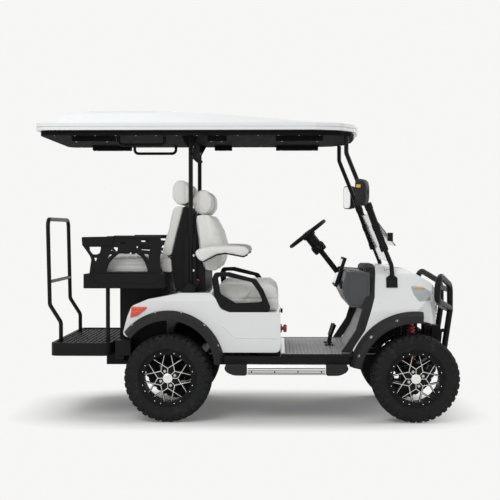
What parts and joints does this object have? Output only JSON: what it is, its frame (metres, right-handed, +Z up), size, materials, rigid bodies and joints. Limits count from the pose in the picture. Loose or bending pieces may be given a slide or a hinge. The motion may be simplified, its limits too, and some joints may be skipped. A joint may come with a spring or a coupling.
{
  "type": "lifted electric utility cart with a rear-facing back seat",
  "caption": "Lifted electric utility cart with a flat canopy, quilted bench seats facing both ways, a rear footboard with grab rail, a brush guard and all-terrain tyres.",
  "frame": {"origin": "on the ground under the middle of the vehicle's box", "axes": "+X forward, +Y to the driver's left, +Z up"},
  "size_m": [2.85, 1.3292, 2.096],
  "materials": {
    "white_body": "gloss moulded body panels",
    "black_plastic": "grained black plastic",
    "grey_plastic": "grained dark grey plastic",
    "floor_mat": "ribbed rubber mat",
    "leather": "quilted pale upholstery",
    "frame_steel": "black powder coat",
    "spring_red": "red powder coat",
    "aluminium": "extruded aluminium",
    "alloy": "machined face alloy",
    "tyre": "black rubber",
    "glass": "clear sheet",
    "display": "gloss dark panel",
    "lamp_clear": "clear lamp lens",
    "lamp_red": "red and amber lens"
  },
  "bodies": {
    "root": {"chassis_rails": "frame_steel", "cross_members": "frame_steel", "front_arms": "frame_steel", "front_coilovers": "spring_red", "rear_axle": "frame_steel", "drive_motor": "grey_plastic", "leaf_springs": "frame_steel", "battery_pack": "grey_plastic", "floor_pan": "floor_mat", "sills": "black_plastic", "running_boards": "aluminium", "board_caps": "black_plastic", "front_cowl": "white_body", "front_liner": "black_plastic", "cowl_trim": "grey_plastic", "dashboard": "black_plastic", "display_screen": "display", "headlamps": "lamp_clear", "wheel_flares": "black_plastic", "bumpers": "black_plastic", "brush_guard": "frame_steel", "rear_body": "white_body", "tail_lamps": "lamp_red", "rear_footboard": "black_plastic", "footboard_posts": "frame_steel", "grab_rail": "frame_steel", "tow_hitch": "frame_steel", "front_backrests": "leather", "headrests": "leather", "seat_shell": "black_plastic", "rear_backrests": "leather", "rear_tray": "black_plastic", "rear_sides": "black_plastic", "front_armrests": "leather", "hip_restraints": "black_plastic", "front_pillars": "frame_steel", "windscreen": "glass", "mid_pillars": "frame_steel", "roof_canopy": "white_body", "roof_liner": "black_plastic", "roof_handles": "black_plastic", "mirrors": "grey_plastic", "steering_column": "black_plastic", "pedals": "black_plastic"},
    "knuckle_left": {"knuckle_left": "frame_steel"},
    "knuckle_right": {"knuckle_right": "frame_steel"},
    "wheel_fl": {"tyre_fl": "tyre", "rim_fl": "alloy"},
    "wheel_fr": {"tyre_fr": "tyre", "rim_fr": "alloy"},
    "wheel_rl": {"tyre_rl": "tyre", "rim_rl": "alloy"},
    "wheel_rr": {"tyre_rr": "tyre", "rim_rr": "alloy"},
    "steering_wheel": {"steering_wheel": "black_plastic"},
    "front_seat_lid": {"front_cushion": "leather"},
    "rear_seat_lid": {"rear_cushion": "leather"}
  },
  "joints": [
    {"name": "steer_left", "type": "hinge", "parent": "root", "child": "knuckle_left", "pos_m": [1.12, 0.475, 0.292], "axis": [0, 0, 1], "range_deg": [-28, 28]},
    {"name": "steer_right", "type": "hinge", "parent": "root", "child": "knuckle_right", "pos_m": [1.12, -0.475, 0.292], "axis": [0, 0, 1], "range_deg": [-28, 28]},
    {"name": "steering_wheel_turn", "type": "hinge", "parent": "root", "child": "steering_wheel", "pos_m": [0.42422, 0.235, 1.25222], "axis": [-0.6157, 0, 0.788], "range_deg": [-260, 260]},
    {"name": "spin_fl", "type": "hinge", "parent": "knuckle_left", "child": "wheel_fl", "pos_m": [1.12, 0.535, 0.292], "axis": [0, 1, 0], "continuous": true},
    {"name": "spin_fr", "type": "hinge", "parent": "knuckle_right", "child": "wheel_fr", "pos_m": [1.12, -0.535, 0.292], "axis": [0, 1, 0], "continuous": true},
    {"name": "spin_rl", "type": "hinge", "parent": "root", "child": "wheel_rl", "pos_m": [-0.53, 0.535, 0.292], "axis": [0, 1, 0], "continuous": true},
    {"name": "spin_rr", "type": "hinge", "parent": "root", "child": "wheel_rr", "pos_m": [-0.53, -0.535, 0.292], "axis": [0, 1, 0], "continuous": true},
    {"name": "front_seat_tip", "type": "hinge", "parent": "root", "child": "front_seat_lid", "pos_m": [0.2219, 0, 0.7295], "axis": [0, 1, 0], "range_deg": [0, 55]},
    {"name": "rear_seat_tip", "type": "hinge", "parent": "root", "child": "rear_seat_lid", "pos_m": [-1.05002, 0, 0.98534], "axis": [0, -1, 0], "range_deg": [0, 90]}
  ],
  "couplings": [
    {"joint": "steer_right", "follows": "steer_left", "ratio": 1},
    {"joint": "steering_wheel_turn", "follows": "steer_left", "ratio": 9}
  ]
}
